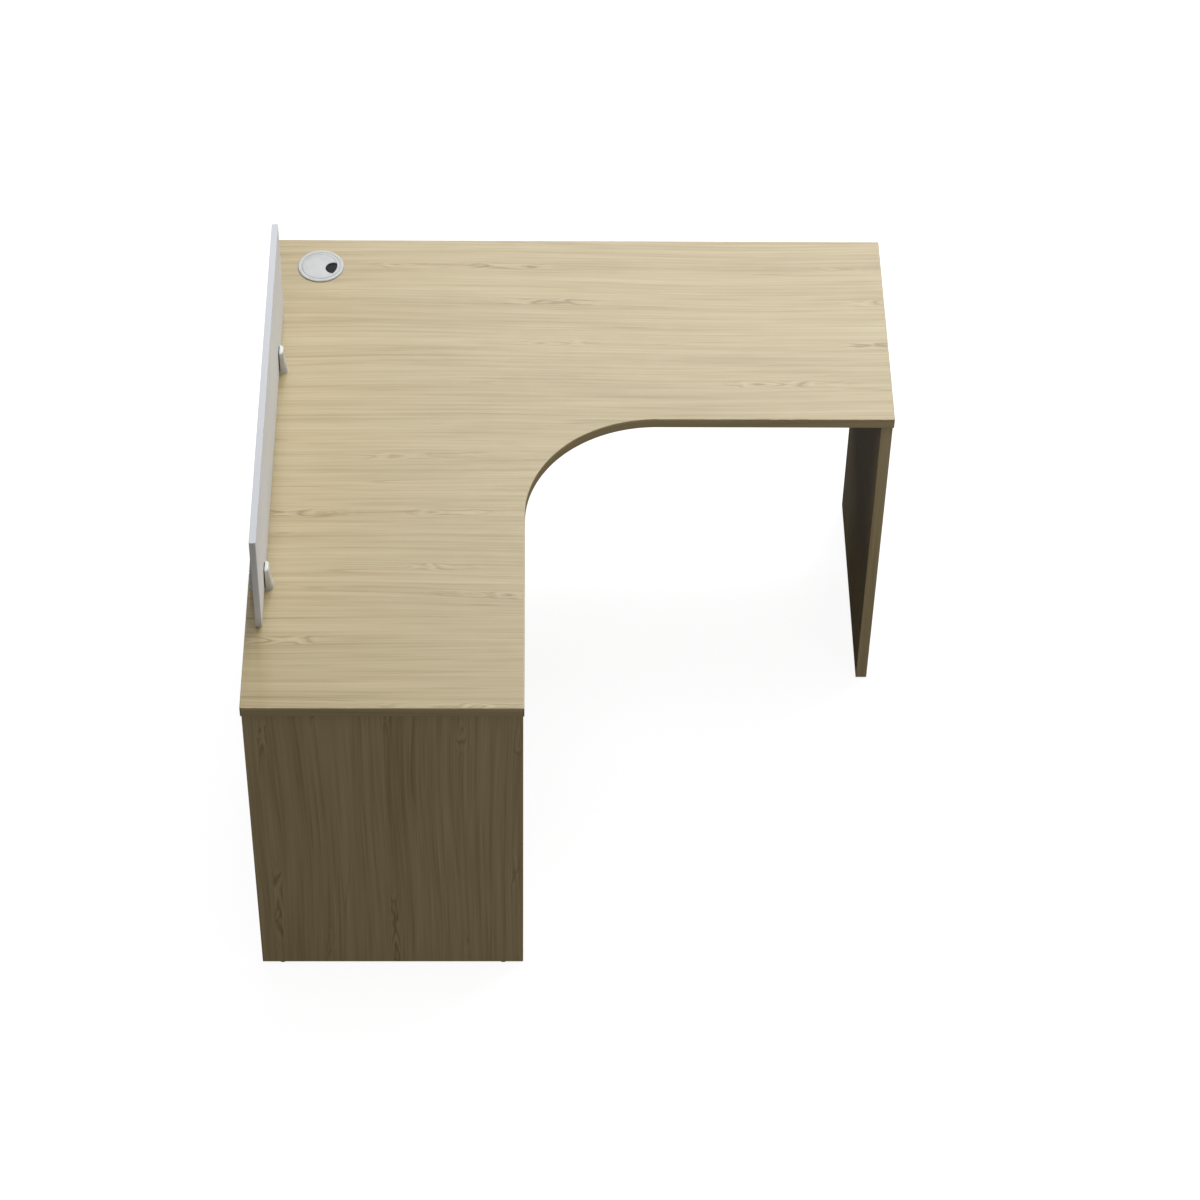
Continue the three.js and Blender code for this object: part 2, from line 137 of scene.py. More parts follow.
def set_world():
    """Soft dim light from all round, and a white backdrop where the camera sees past the floor."""
    world = bpy.data.worlds.new("studio")
    world.use_nodes = True
    tree = world.node_tree
    tree.nodes.clear()
    ambient = background(tree, (1.0, 0.985, 0.96), AMBIENT)
    backdrop = background(tree, (1.0, 1.0, 1.0), 1.0)
    output = tree.nodes.new("ShaderNodeOutputWorld")
    tree.links.new(mix_for_camera(tree, ambient, backdrop), output.inputs["Surface"])
    scene.world = world
    scene.view_settings.view_transform = "Standard"
    scene.view_settings.look = "None"


def diffuse(tree, grey):
    made = tree.nodes.new("ShaderNodeBsdfDiffuse")
    made.inputs["Color"].default_value = (grey, grey, grey, 1)
    return made.outputs["BSDF"]


def floor_material():
    """Pale, with the desk's soft shadow for the camera, and dim for light that bounces."""
    material = bpy.data.materials.new("pale_floor")
    material.use_nodes = True
    tree = material.node_tree
    tree.nodes.clear()
    glow = tree.nodes.new("ShaderNodeEmission")
    glow.inputs["Strength"].default_value = FLOOR_GLOW
    both = tree.nodes.new("ShaderNodeAddShader")
    tree.links.new(diffuse(tree, FLOOR_SHADE), both.inputs[0])
    tree.links.new(glow.outputs["Emission"], both.inputs[1])
    shown = mix_for_camera(tree, diffuse(tree, FLOOR_BOUNCE), both.outputs["Shader"])
    output = tree.nodes.new("ShaderNodeOutputMaterial")
    tree.links.new(shown, output.inputs["Surface"])
    return material


def add_floor():
    mesh = bpy.data.meshes.new("studio_floor")
    form = bmesh.new()
    bmesh.ops.create_circle(form, cap_ends=True, radius=FLOOR_RADIUS, segments=96)
    form.to_mesh(mesh)
    form.free()
    floor = bpy.data.objects.new("studio_floor", mesh)
    scene.collection.objects.link(floor)
    mesh.materials.append(floor_material())


# ---------------------------------------------------------------------------------------------
# Materials
# ---------------------------------------------------------------------------------------------


class Shader:
    """A Principled material, with short calls for the nodes that vary it over the surface."""

    def __init__(self, name, colour, roughness, metallic=0.0, specular=0.5):
        self.material = bpy.data.materials.new(name)
        self.material.use_nodes = True
        self.tree = self.material.node_tree
        self.bsdf = self.tree.nodes["Principled BSDF"]
        self.set("Base Color", (*colour, 1))
        self.set("Roughness", roughness)
        self.set("Metallic", metallic)
        self.set("Specular IOR Level", specular)
        self.place = self.node("ShaderNodeTexCoord").outputs["Object"]

    def set(self, name, value):
        self.bsdf.inputs[name].default_value = value

    def node(self, kind, **settings):
        made = self.tree.nodes.new(kind)
        for key, value in settings.items():
            setattr(made, key, value)
        return made

    def link(self, source, target):
        self.tree.links.new(source, target)

    def plug(self, socket, value):
        """Sets a socket to a number or a vector, or links it to another socket."""
        if isinstance(value, bpy.types.NodeSocket):
            self.link(value, socket)
        else:
            socket.default_value = value

    def math(self, operation, *values):
        made = self.node("ShaderNodeMath", operation=operation)
        for socket, value in zip(made.inputs, values):
            self.plug(socket, value)
        return made.outputs[0]

    def centred(self, value):
        return self.math("SUBTRACT", value, 0.5)

    def dot(self, vector, weights):
        made = self.node("ShaderNodeVectorMath", operation="DOT_PRODUCT")
        self.link(vector, made.inputs[0])
        made.inputs[1].default_value = weights
        return made.outputs["Value"]

    def random_number(self, value):
        made = self.node("ShaderNodeTexWhiteNoise", noise_dimensions="1D")
        self.link(value, made.inputs["W"])
        return made.outputs["Value"]

    def grain(self, u, v, along_scale, across_scale, seed, detail=0.0):
        """Noise that is drawn out along u, from 0 to 1."""
        along = self.math("MULTIPLY_ADD", u, along_scale, seed)
        place = self.vector(along, self.math("MULTIPLY", v, across_scale), seed)
        return self.noise(place, 1.0, detail, 0.55)

    def vector(self, x, y, z):
        made = self.node("ShaderNodeCombineXYZ")
        for socket, value in zip(made.inputs, (x, y, z)):
            self.plug(socket, value)
        return made.outputs[0]

    def noise(self, place, scale=1.0, detail=2.0, roughness=0.5):
        made = self.node("ShaderNodeTexNoise")
        self.link(place, made.inputs["Vector"])
        made.inputs["Scale"].default_value = scale
        made.inputs["Detail"].default_value = detail
        made.inputs["Roughness"].default_value = roughness
        return made.outputs["Fac"]

    def ramp(self, value, low, high, out_low=0.0, out_high=1.0):
        """Goes smoothly from out_low to out_high while the value goes from low to high."""
        made = self.node("ShaderNodeMapRange", interpolation_type="SMOOTHSTEP")
        self.link(value, made.inputs["Value"])
        made.inputs["From Min"].default_value = low
        made.inputs["From Max"].default_value = high
        made.inputs["To Min"].default_value = out_low
        made.inputs["To Max"].default_value = out_high
        return made.outputs["Result"]

    def colour_ramp(self, value, stops):
        made = self.node("ShaderNodeValToRGB")
        elements = made.color_ramp.elements
        while len(elements) < len(stops):
            elements.new(0.5)
        for element, (position, colour) in zip(elements, stops):
            element.position = position
            element.color = (*colour, 1)
        self.link(value, made.inputs["Fac"])
        return made.outputs["Color"]

    def tinted(self, colour, tint):
        made = self.node("ShaderNodeVectorMath", operation="MULTIPLY")
        self.link(colour, made.inputs[0])
        made.inputs[1].default_value = tint
        return made.outputs["Vector"]

    def blend(self, factor, first, second):
        made = self.node("ShaderNodeMix", data_type="RGBA", clamp_factor=True)
        self.plug(made.inputs["Factor"], factor)
        for name, value in (("A", first), ("B", second)):
            socket = [s for s in made.inputs if s.name == name and s.type == "RGBA"][0]
            self.plug(socket, (*value, 1) if isinstance(value, tuple) else value)
        return [s for s in made.outputs if s.type == "RGBA"][0]

    def bump(self, height, distance, strength):
        made = self.node("ShaderNodeBump")
        made.inputs["Distance"].default_value = distance
        made.inputs["Strength"].default_value = strength
        self.link(height, made.inputs["Height"])
        self.link(made.outputs["Normal"], self.bsdf.inputs["Normal"])

    def colour(self, socket):
        self.link(socket, self.bsdf.inputs["Base Color"])

    def roughness(self, socket):
        self.link(socket, self.bsdf.inputs["Roughness"])


LAMINATE_TONES = (
    (0.00, (0.262, 0.184, 0.084)),
    (0.30, (0.382, 0.290, 0.148)),
    (0.50, (0.468, 0.368, 0.200)),
    (0.72, (0.530, 0.430, 0.252)),
    (1.00, (0.620, 0.530, 0.350)),
)
FIGURE_ROWS = 112 * MM         # one row of small pointed figures in each strip this wide
FIGURE_HALF_WIDTH = 8.5 * MM
FIGURE_POINT = 16 * MM         # how far a figure's middle runs ahead of its sides
FIGURE_RINGS = 6.8             # dark and pale rings in a figure

# Broad streaks, narrow streaks, threads and fine lines: the noise's scale along and across the
# grain, its seed and detail, and how much it counts.
GRAIN_LAYERS = (
    (0.5, 7.0, 7.7, 1.0, 0.20),
    (1.0, 34.0, 1.9, 2.0, 0.36),
    (1.9, 105.0, 5.3, 2.0, 0.50),
    (4.5, 290.0, 9.4, 1.0, 0.55),
)


def laminate(name, along, across):
    """Printed wood-grain laminate: long streaks, threads, a few hairlines, and rows of small
    pointed figures. along and across say how the place on the board gives the two grain axes."""
    shader = Shader(name, LAMINATE_TONES[2][1], 0.36)
    u = shader.dot(shader.place, along)
    v = shader.dot(shader.place, across)
    wander = shader.math("MULTIPLY", shader.centred(shader.grain(u, v, 1.3, 4.5, 3.1)), 0.034)
    lines = shader.math("ADD", v, wander)

    tone = 0.5
    for along_scale, across_scale, seed, detail, weight in GRAIN_LAYERS:
        layer = shader.grain(u, lines, along_scale, across_scale, seed, detail)
        tone = shader.math("MULTIPLY_ADD", shader.centred(layer), weight, tone)

    hair = shader.centred(shader.grain(u, lines, 1.7, 62.0, 21.3))
    hair = shader.ramp(shader.math("ABSOLUTE", hair), 0.0, 0.030, 1.0, 0.0)
    where = shader.ramp(shader.grain(u, lines, 2.4, 30.0, 33.8), 0.55, 0.68)
    tone = shader.math("MULTIPLY_ADD", shader.math("MULTIPLY", hair, where), -0.20, tone)
    tone = shader.math("ADD", tone, figure_tone(shader, u, lines))

    colour = shader.colour_ramp(tone, LAMINATE_TONES)
    warmth = shader.ramp(shader.grain(u, lines, 0.7, 17.0, 44.1), 0.40, 0.66, 0.0, 0.4)
    shader.colour(shader.blend(warmth, colour, shader.tinted(colour, (1.02, 0.99, 0.985))))
    pores = shader.grain(u, lines, 24.0, 900.0, 51.7)
    shader.roughness(shader.ramp(pores, 0.25, 0.75, 0.30, 0.42))
    shader.bump(shader.math("MULTIPLY_ADD", tone, 0.5, pores), 0.00005, 0.5)
    return shader.material


def figure_tone(shader, u, lines):
    """Rows of small arrowhead and eye figures, as where a saw meets the heart of the tree. The rings
    follow the square of the distance from the row's middle line, and noise swells them into eyes."""
    row = shader.math("FLOOR", shader.math("DIVIDE", lines, FIGURE_ROWS))
    chance = shader.random_number(row)
    middle = shader.math("MULTIPLY_ADD", chance, 0.5, 0.25)
    middle = shader.math("MULTIPLY", shader.math("ADD", row, middle), FIGURE_ROWS)
    offset = shader.math("ABSOLUTE", shader.math("SUBTRACT", lines, middle))
    offset = shader.math("DIVIDE", offset, FIGURE_HALF_WIDTH)
    pointed = shader.math("MULTIPLY_ADD", offset, FIGURE_POINT, u)
    along = shader.math("MULTIPLY_ADD", pointed, 15.0, shader.math("MULTIPLY", row, 7.31))
    swell = shader.noise(shader.vector(along, shader.math("MULTIPLY", lines, 26.0), 2.7), 1.0, 1.2, 0.45)
    swell = shader.math("MULTIPLY", shader.centred(swell), 4.2)
    rings = shader.math("MULTIPLY_ADD", shader.math("MULTIPLY", offset, offset), 0.75, swell)
    rings = shader.math("SINE", shader.math("MULTIPLY", rings, FIGURE_RINGS))
    dark = shader.ramp(rings, 0.45, 1.0, 0.0, -0.30)
    pale = shader.ramp(rings, -0.20, -1.0, 0.0, 0.19)
    inside = shader.ramp(offset, 0.75, 1.25, 1.0, 0.0)
    place = shader.math("MULTIPLY_ADD", row, 3.17, shader.math("MULTIPLY", u, 3.0))
    present = shader.ramp(shader.noise(shader.vector(place, row, 8.8), 1.0, 1.0), 0.50, 0.62)
    strength = shader.math("MULTIPLY", inside, present)
    return shader.math("MULTIPLY", shader.math("ADD", dark, pale), strength)


def white_board(top):
    """White melamine, with painted shade: the top face at that height is painted greyer than the rest of
    the board.
    """
    shader = Shader("white_melamine", (0.81, 0.82, 0.85), 0.52, specular=0.15)
    cloud = shader.noise(shader.place, 5.0, 3.0)
    face = shader.blend(shader.ramp(cloud, 0.3, 0.7), (0.80, 0.81, 0.84), (0.825, 0.835, 0.865))
    height = shader.dot(shader.place, (0, 0, 1))
    # Painted shade: the top face and the upper half of its round edges are painted greyer.
    painted_top_shade = shader.ramp(height, top - 0.6 * MM, top - 0.2 * MM)
    shader.colour(shader.blend(painted_top_shade, face, (0.655, 0.655, 0.695)))
    peel = shader.noise(shader.place, 900.0, 2.0)
    shader.roughness(shader.ramp(cloud, 0.3, 0.7, 0.47, 0.58))
    shader.bump(peel, 0.00004, 0.5)
    return shader.material


def powder_coat():
    shader = Shader("white_powder_coat", (0.72, 0.72, 0.72), 0.32)
    peel = shader.noise(shader.place, 1400.0, 2.0)
    cloud = shader.noise(shader.place, 60.0, 2.0)
    shader.colour(shader.blend(shader.ramp(cloud, 0.3, 0.7), (0.70, 0.70, 0.70), (0.75, 0.75, 0.75)))
    shader.roughness(shader.ramp(peel, 0.3, 0.7, 0.30, 0.44))
    shader.bump(peel, 0.00005, 0.6)
    return shader.material


def moulded_plastic(name, low, high, roughness, specular=0.5):
    """Spark-eroded moulded plastic: a fine even texture and a faint mottle."""
    shader = Shader(name, low, roughness, specular=specular)
    cloud = shader.noise(shader.place, 45.0, 3.0)
    texture = shader.noise(shader.place, 2600.0, 2.0)
    shader.colour(shader.blend(shader.ramp(cloud, 0.3, 0.7), low, high))
    shader.roughness(shader.ramp(texture, 0.3, 0.7, roughness - 0.06, roughness + 0.08))
    shader.bump(texture, 0.00003, 0.6)
    return shader.material


def rubber():
    shader = Shader("rubber_strip", (0.018, 0.017, 0.016), 0.75)
    dust = shader.noise(shader.place, 220.0, 4.0)
    shader.colour(shader.blend(shader.ramp(dust, 0.35, 0.8), (0.016, 0.015, 0.014), (0.045, 0.043, 0.040)))
    shader.roughness(shader.ramp(dust, 0.3, 0.7, 0.66, 0.86))
    shader.bump(dust, 0.00008, 0.5)
    return shader.material


def zinc_steel():
    """Bright zinc plating: soft crystalline cloud and short brushed lines."""
    shader = Shader("zinc_plate", (0.56, 0.57, 0.58), 0.34, metallic=1.0)
    parts = shader.node("ShaderNodeSeparateXYZ")
    shader.link(shader.place, parts.inputs[0])
    brushed = shader.vector(
        shader.math("MULTIPLY", parts.outputs[0], 260.0),
        shader.math("MULTIPLY", parts.outputs[1], 260.0),
        shader.math("MULTIPLY", parts.outputs[2], 2600.0),
    )
    lines = shader.noise(brushed, 1.0, 2.0)
    cloud = shader.noise(shader.place, 160.0, 3.0)
    shader.colour(shader.blend(shader.ramp(cloud, 0.3, 0.7), (0.50, 0.51, 0.53), (0.64, 0.64, 0.63)))
    shader.roughness(shader.ramp(lines, 0.3, 0.7, 0.26, 0.44))
    shader.bump(lines, 0.00003, 0.5)
    return shader.material


OAK_TOP = laminate("oak_laminate_top", (1, 0, 0), (0, 1, 1))
OAK_UPRIGHT = laminate("oak_laminate_upright", (0, 0, 1), (1, 1, 0))
OAK_LEVEL = laminate("oak_laminate_level", (1, 1, 0), (0, 0, 1))
WHITE_BOARD = white_board(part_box("screen_board")[1].z)
WHITE_METAL = powder_coat()
WHITE_PLASTIC = moulded_plastic("white_plastic", (0.520, 0.515, 0.520), (0.560, 0.555, 0.560), 0.40)
DARK_PLASTIC = moulded_plastic("dark_plastic", (0.012, 0.012, 0.015), (0.022, 0.022, 0.025), 0.56, 0.18)
RUBBER = rubber()
ZINC = zinc_steel()

# ---------------------------------------------------------------------------------------------
# Mesh helpers
# ---------------------------------------------------------------------------------------------


def shade_smooth(mesh, sharp_angle):
    """Smooth shading, apart from edges where faces meet at more than sharp_angle degrees."""
    mesh.polygons.foreach_set("use_smooth", [True] * len(mesh.polygons))
    mesh.set_sharp_from_angle(angle=math.radians(sharp_angle))


def finish_mesh(form, name, sharp_angle=35):
    """Turns a bmesh into a mesh."""
    bmesh.ops.recalc_face_normals(form, faces=form.faces[:])
    mesh = bpy.data.meshes.new(name)
    form.to_mesh(mesh)
    form.free()
    shade_smooth(mesh, sharp_angle)
    return mesh


def loose_piece(name, mesh):
    """A piece in the scene that belongs to no body yet."""
    piece = bpy.data.objects.new(name, mesh)
    scene.collection.objects.link(piece)
    return piece


def add_piece(name, mesh, material, body=ROOT, replaced=()):
    """A visible piece that rides a body, and may stand in for CAD pieces."""
    piece = loose_piece(name, mesh)
    mesh.materials.append(material)
    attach(piece, body)
    if replaced:
        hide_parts(*replaced)
    return piece


def shade_evenly(piece):
    """Keeps flat faces looking flat beside their small round edges."""
    modifier = piece.modifiers.new("even_shading", "WEIGHTED_NORMAL")
    modifier.keep_sharp = True


def keep_node(name, material):
    """The CAD piece's shape is right: it stays, in a better material."""
    NODES[name].material_slots[0].material = material


def box_form(low, high):
    form = bmesh.new()
    bmesh.ops.create_cube(form, size=1)
    size = Vector(high) - Vector(low)
    middle = (Vector(high) + Vector(low)) / 2
    bmesh.ops.scale(form, vec=size, verts=form.verts[:])
    bmesh.ops.translate(form, vec=middle, verts=form.verts[:])
    return form


def round_edges(form, edges, radius, segments=3):
    bmesh.ops.bevel(
        form, geom=edges, offset=radius, segments=segments, profile=0.5,
        affect="EDGES", clamp_overlap=True,
    )


def edges_on_face(form, axis, value):
    """The edges that lie whole in the plane where that axis has that value."""
    tolerance = 1e-6
    return [e for e in form.edges if all(abs(v.co[axis] - value) < tolerance for v in e.verts)]


def lathe_form(profile, segments=64):
    """Turns (radius, height) points about Z. The profile runs from axis to axis, or closes on itself."""
    form = bmesh.new()
    rings = []
    for radius, height in profile:
        if radius < 1e-9:
            rings.append([form.verts.new((0, 0, height))])
            continue
        turn = [2 * math.pi * step / segments for step in range(segments)]
        rings.append([form.verts.new((radius * math.cos(a), radius * math.sin(a), height)) for a in turn])
    closed = profile[0] == profile[-1]
    if closed:
        for vert in rings[-1]:
            form.verts.remove(vert)
        rings[-1] = rings[0]
    for low, high in zip(rings, rings[1:]):
        for step in range(segments):
            after = (step + 1) % segments
            lower = [low[step % len(low)], low[after % len(low)]]
            upper = [high[after % len(high)], high[step % len(high)]]
            corners = list(dict.fromkeys(lower + upper))
            if len(corners) > 2:
                form.faces.new(corners)
    return form


def quarter_turn(steps):
    """The angles of a quarter circle, in radians."""
    return [math.radians(90 * step / steps) for step in range(steps + 1)]


def arc_points(centre, radius, start, end, steps):
    """Points on an arc as (x, y) pairs. Its start and end are in degrees."""
    turn = [math.radians(start + (end - start) * step / steps) for step in range(steps + 1)]
    return [(centre[0] + radius * math.cos(a), centre[1] + radius * math.sin(a)) for a in turn]


def bridge_rings(form, rings):
    """Joins a list of equal rings of vertices with faces, one after the other."""
    for low, high in zip(rings, rings[1:]):
        count = len(low)
        for step in range(count):
            after = (step + 1) % count
            form.faces.new((low[step], low[after], high[after], high[step]))


def boolean(piece, operation, other_mesh):
    """Joins piece with another closed mesh, or cuts it, and keeps the result as its mesh."""
    other = bpy.data.objects.new("cutter", other_mesh)
    scene.collection.objects.link(other)
    modifier = piece.modifiers.new("boolean", "BOOLEAN")
    modifier.operation = operation
    modifier.solver = "EXACT"
    modifier.object = other
    bpy.context.view_layer.update()
    seen = piece.evaluated_get(bpy.context.evaluated_depsgraph_get())
    mesh = bpy.data.meshes.new_from_object(seen)
    piece.modifiers.remove(modifier)
    bpy.data.objects.remove(other)
    piece.data = mesh


def take_mesh(piece, sharp_angle):
    """Deletes a loose piece, and returns its mesh, shaded and without materials."""
    mesh = piece.data
    bpy.data.objects.remove(piece)
    mesh.materials.clear()
    shade_smooth(mesh, sharp_angle)
    return mesh


def moved(mesh, place):
    mesh.transform(Matrix.Translation(place))
    return mesh


def cylinder_mesh(radius, start, end, segments=32):
    """A closed rod between two points, used to drill holes."""
    start, end = Vector(start), Vector(end)
    form = bmesh.new()
    length = (end - start).length
    bmesh.ops.create_cone(
        form, cap_ends=True, segments=segments, radius1=radius, radius2=radius, depth=length)
    turn = (end - start).to_track_quat("Z", "Y").to_matrix().to_4x4()
    place = Matrix.Translation((start + end) / 2) @ turn
    bmesh.ops.transform(form, matrix=place, verts=form.verts[:])
    return finish_mesh(form, "drill")


# ---------------------------------------------------------------------------------------------
# The top and its edge bands
# ---------------------------------------------------------------------------------------------

GLUE = 0.2 * MM              # between a band and its board; the visible band fills it
BAND = 1.5 * MM
ARRIS = 1.3 * MM             # radius of a band's outer edges
INNER_CORNER = 250 * MM      # radius of the round corner in the L


def band_strip(node, axis, outward, material):
    """A straight edge band: its outer arrises are round, and its inner face meets the board."""
    low, high = (corner.copy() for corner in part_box(node))
    if outward > 0:
        low[axis] -= GLUE
        face = high[axis]
    else:
        high[axis] += GLUE
        face = low[axis]
    form = box_form(low, high)
    round_edges(form, edges_on_face(form, axis, face), ARRIS, 4)
    mesh = finish_mesh(form, node + "_rounded")
    add_piece(node + "_rounded", mesh, material, replaced=[node])


def inner_edge_path(low, high):
    """Places along the board's inner edge, each with the direction that points out of the board."""
    side = low.x + BAND
    front = high.y - BAND
    centre = (side + INNER_CORNER, front - INNER_CORNER)
    path = [((side, low.y), (1, 0))]
    for angle in reversed(quarter_turn(64)):
        x, y = math.cos(angle + math.pi / 2), math.sin(angle + math.pi / 2)
        path.append(((centre[0] + INNER_CORNER * x, centre[1] + INNER_CORNER * y), (-x, -y)))
    path.append(((high.x, front), (0, -1)))
    return path


def curved_band():
    """The bent strip along the inner edge of the L, swept along two straights and the round corner."""
    low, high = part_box("band_inner_curve")
    corner = [(-ARRIS * (1 - math.sin(a)), ARRIS * (1 - math.cos(a))) for a in quarter_turn(4)]
    back = -BAND - GLUE
    profile = [(back, low.z)]
    profile += [(offset, low.z + rise) for offset, rise in corner]
    profile += [(offset, high.z - rise) for offset, rise in reversed(corner)]
    profile += [(back, high.z)]
    form = bmesh.new()
    rings = []
    for (x, y), (out_x, out_y) in inner_edge_path(low, high):
        rings.append([form.verts.new((x + out_x * o, y + out_y * o, z)) for o, z in profile])
    bridge_rings(form, rings)
    form.faces.new(rings[0])
    form.faces.new(list(reversed(rings[-1])))
    mesh = finish_mesh(form, "band_inner_curve_rounded", 30)
    add_piece("band_inner_curve_rounded", mesh, OAK_LEVEL, replaced=["band_inner_curve"])


def build_top():
    keep_node("desktop", OAK_TOP)
    band_strip("band_left_side", X, -1, OAK_LEVEL)
    band_strip("band_right_side", X, 1, OAK_LEVEL)
    band_strip("band_back", Y, 1, OAK_LEVEL)
    band_strip("band_left_wing_end", Y, -1, OAK_LEVEL)
    curved_band()


# ---------------------------------------------------------------------------------------------
# Panels
# ---------------------------------------------------------------------------------------------

BOARD_ARRIS = 0.6 * MM
FOOT_HOLE = 6.0 * MM         # radius
FOOT_HOLE_DEPTH = 36 * MM
CUT_PAST = 2 * MM            # how far a drill starts outside what it cuts


def board(node, material, feet=()):
    """A laminated board with softly broken edges, and holes for the feet named."""
    low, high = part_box(node)
    form = box_form(low, high)
    round_edges(form, form.edges[:], BOARD_ARRIS, 2)
    mesh = finish_mesh(form, node + "_board")
    piece = add_piece(node + "_board", mesh, material, replaced=[node])
    for foot in feet:
        inner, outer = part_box(foot + "_insert")
        middle = (inner + outer) / 2
        start = (middle.x, middle.y, low.z - CUT_PAST)
        end = (middle.x, middle.y, low.z + FOOT_HOLE_DEPTH)
        boolean(piece, "DIFFERENCE", cylinder_mesh(FOOT_HOLE, start, end))
    shade_evenly(piece)


def build_panels():
    keep_node("left_end_panel", OAK_UPRIGHT)
    band_strip("left_end_panel_band_outer", X, -1, OAK_UPRIGHT)
    band_strip("left_end_panel_band_inner", X, 1, OAK_UPRIGHT)
    keep_node("right_end_panel", OAK_UPRIGHT)
    band_strip("right_end_panel_band_front", Y, -1, OAK_UPRIGHT)
    band_strip("right_end_panel_band_back", Y, 1, OAK_UPRIGHT)
    board("corner_panel_back", OAK_UPRIGHT, ["foot_5"])
    board("corner_panel_side", OAK_UPRIGHT, ["foot_6"])
    board("modesty_panel_back", OAK_LEVEL)
    board("modesty_panel_side", OAK_LEVEL)


# ---------------------------------------------------------------------------------------------
# The screen and its clamp brackets
# ---------------------------------------------------------------------------------------------

SCREEN_CORNER = 2.0 * MM     # radius of the screen's upright edges
SCREEN_ARRIS = 0.6 * MM      # radius of the edges round its ends

INNER_JAW_TOP = 7.5 * MM     # a jaw's thickness at its top; at its base it is the CAD's
OUTER_JAW_TOP = 7.0 * MM
JAW_TOP_ROUND = 3.5 * MM
JAW_PLAN_ROUND = 12 * MM     # radius of a jaw's corners seen from above, where it is thick enough
JAW_PLAN_SHARE = 0.86        # of its thickness, where it isn't
JAW_FLARE = 1.6              # above 1, a jaw widens mostly near its base
PAD_ROOM = 2.8 * MM          # behind the clamp pad, for its travel and a little play
LOOSE_FIT = 0.3 * MM
FLOOR_OVERLAP = 2 * MM       # of the bracket's floor into its jaws
BASE_SCREW_SPREAD = 8 * MM   # from the bracket's middle to each base screw
BASE_SCREW_HOLE = 2.3 * MM   # radius
BASE_SCREW_SINK = 4.3 * MM   # radius
SINK_DEPTH = 2.7 * MM
CLAMP_SCREW_HOLE = 3.3 * MM  # radius
LINER_ARRIS = 0.4 * MM


def jaw_levels(base, top, half, height):
    """Height, thickness and half length of a jaw, from its base to the end of its domed top."""
    straight = height - JAW_TOP_ROUND
    steps = 16
    levels = []
    for share in (step / steps for step in range(steps + 1)):
        thickness = base + (top - base) * (1 - (1 - share) ** JAW_FLARE)
        levels.append((straight * share, thickness, half))
    for angle in quarter_turn(8)[1:]:
        shrink = JAW_TOP_ROUND * (1 - math.cos(angle))
        levels.append((straight + JAW_TOP_ROUND * math.sin(angle), top - shrink, half - shrink))
    return levels


def jaw_form(inner, reach, top, half, height):
    """One jaw of a bracket: a blunt wedge with round corners in plan and a domed top.
    inner is where its flat face stands, and a reach below zero points to the left."""
    side = math.copysign(1, reach)
    form = bmesh.new()
    rings = []
    for z, thickness, half_length in jaw_levels(abs(reach), top, half, height):
        corner = min(JAW_PLAN_ROUND, thickness * JAW_PLAN_SHARE)
        outline = [(0, -half_length)]
        outline += arc_points((thickness - corner, corner - half_length), corner, -90, 0, 10)
        outline += arc_points((thickness - corner, half_length - corner), corner, 0, 90, 10)
        outline += [(0, half_length)]
        rings.append([form.verts.new((inner + side * x, y, z)) for x, y in outline])
    bridge_rings(form, rings)
    form.faces.new(rings[0])
    form.faces.new(list(reversed(rings[-1])))
    return form


def bracket_body(node, screw_node):
    """Two jaws on one floor, drilled for the base screws and the clamp screw."""
    low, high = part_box(node)
    half = (high.y - low.y) / 2
    height = high.z - low.z
    screen_low, screen_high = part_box("screen_board")
    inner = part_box(node.replace("_body", "_liner"))[1].x + LOOSE_FIT
    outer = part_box(node.replace("_body", "_clamp_pad"))[0].x - PAD_ROOM
    floor_top = screen_low.z - LOOSE_FIT - low.z
    right = jaw_form(inner, high.x - inner, INNER_JAW_TOP, half, height)
    left = jaw_form(outer, low.x - outer, OUTER_JAW_TOP, half, height)
    piece = loose_piece(node + "_cast", finish_mesh(right, node + "_cast"))
    boolean(piece, "UNION", finish_mesh(left, "left_jaw"))
    floor = box_form((outer - FLOOR_OVERLAP, -half, 0), (inner + FLOOR_OVERLAP, half, floor_top))
    boolean(piece, "UNION", finish_mesh(floor, "bracket_floor"))

    centre_x = (screen_low.x + screen_high.x) / 2
    for y in (-BASE_SCREW_SPREAD, BASE_SCREW_SPREAD):
        end = (centre_x, y, floor_top + MM)
        boolean(piece, "DIFFERENCE", cylinder_mesh(BASE_SCREW_HOLE, (centre_x, y, -MM), end))
        sink = (centre_x, y, floor_top - SINK_DEPTH)
        boolean(piece, "DIFFERENCE", cylinder_mesh(BASE_SCREW_SINK, sink, end))
    screw_low, screw_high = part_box(screw_node)
    screw_z = (screw_low.z + screw_high.z) / 2 - low.z
    start = (low.x - CUT_PAST, 0, screw_z)
    end = (outer + CUT_PAST, 0, screw_z)
    boolean(piece, "DIFFERENCE", cylinder_mesh(CLAMP_SCREW_HOLE, start, end))

    mesh = moved(take_mesh(piece, 32), (0, (low.y + high.y) / 2, low.z))
    add_piece(node + "_cast", mesh, WHITE_METAL, replaced=[node])


def build_screen():
    low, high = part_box("screen_board")
    form = box_form(low, high)
    upright = [e for e in form.edges if e.verts[0].co.z != e.verts[1].co.z]
    round_edges(form, upright, SCREEN_CORNER, 5)
    rims = [e for e in form.edges if e.verts[0].co.z == e.verts[1].co.z and len(e.link_faces) == 2]
    round_edges(form, rims, SCREEN_ARRIS, 3)
    mesh = finish_mesh(form, "screen_panel")
    piece = add_piece("screen_panel", mesh, WHITE_BOARD, "screen", ["screen_board"])
    shade_evenly(piece)


